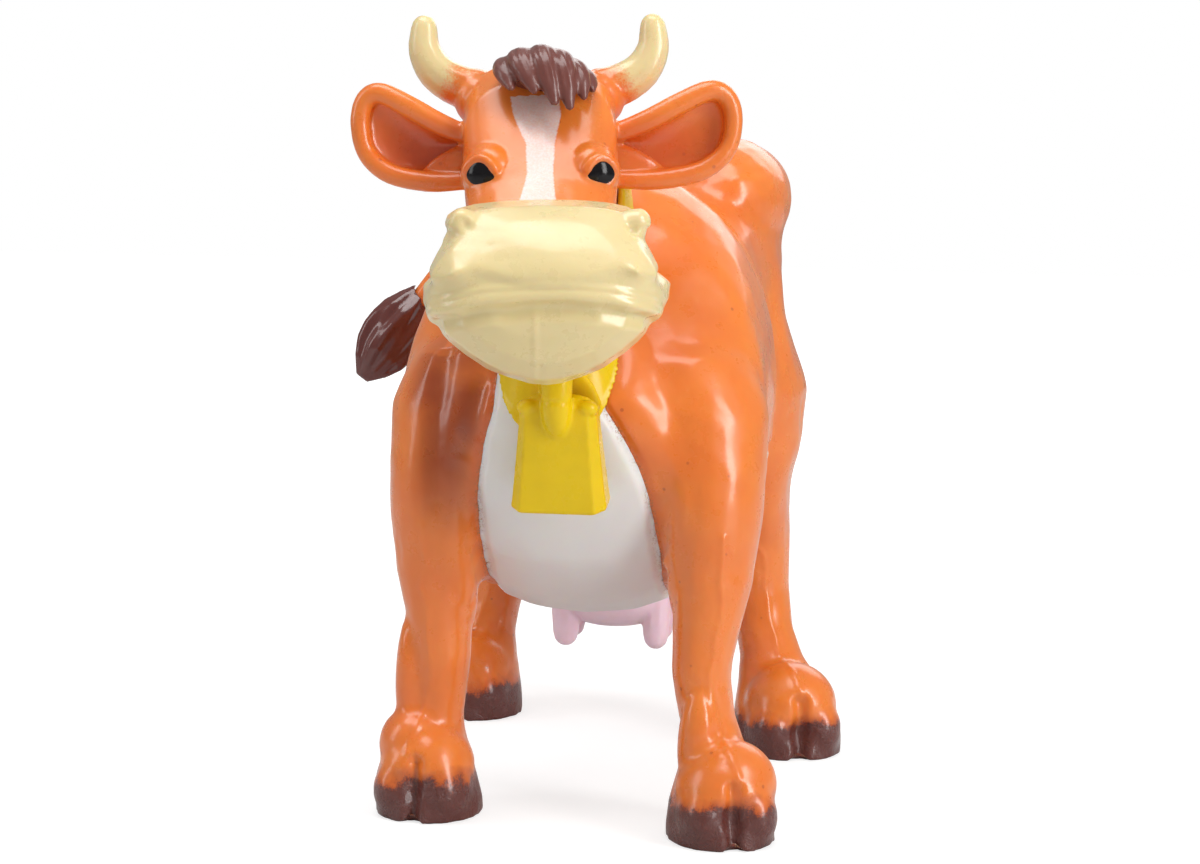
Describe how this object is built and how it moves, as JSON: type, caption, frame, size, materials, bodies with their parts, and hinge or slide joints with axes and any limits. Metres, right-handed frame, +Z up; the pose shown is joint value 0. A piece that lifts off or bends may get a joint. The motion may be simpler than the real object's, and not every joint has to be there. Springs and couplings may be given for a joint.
{
  "type": "toy farm animal figure",
  "caption": "Small moulded plastic toy cow, standing, with horns, cupped ears, forelock, collar with bell, white belly insert, udder and swept tail, glued together from plug-in pieces.",
  "frame": {"origin": "on the floor, under the middle of the figure's bounding box", "axes": "+Z up, the nose points towards -Y, the cow's own left is +X"},
  "size_m": [0.067, 0.0986, 0.0889],
  "materials": {
    "orange_plastic": "glossy flexible vinyl, slightly translucent",
    "white_plastic": "satin",
    "cream_plastic": "satin paint",
    "yellow_plastic": "glossy paint",
    "pink_plastic": "satin",
    "brown_plastic": "semi-gloss paint",
    "black_plastic": "gloss"
  },
  "bodies": {
    "root": {"torso": "orange_plastic", "front_left_leg": "orange_plastic", "front_right_leg": "orange_plastic", "rear_left_leg": "orange_plastic", "rear_right_leg": "orange_plastic", "belly_insert": "white_plastic", "udder": "pink_plastic", "collar": "yellow_plastic", "bell": "yellow_plastic", "head": "orange_plastic", "muzzle": "cream_plastic", "lower_jaw": "cream_plastic", "left_ear": "orange_plastic", "right_ear": "orange_plastic", "left_horn": "cream_plastic", "right_horn": "cream_plastic", "forelock": "brown_plastic", "left_eye": "black_plastic", "right_eye": "black_plastic", "tail": "orange_plastic", "tail_tuft": "brown_plastic"}
  },
  "joints": []
}
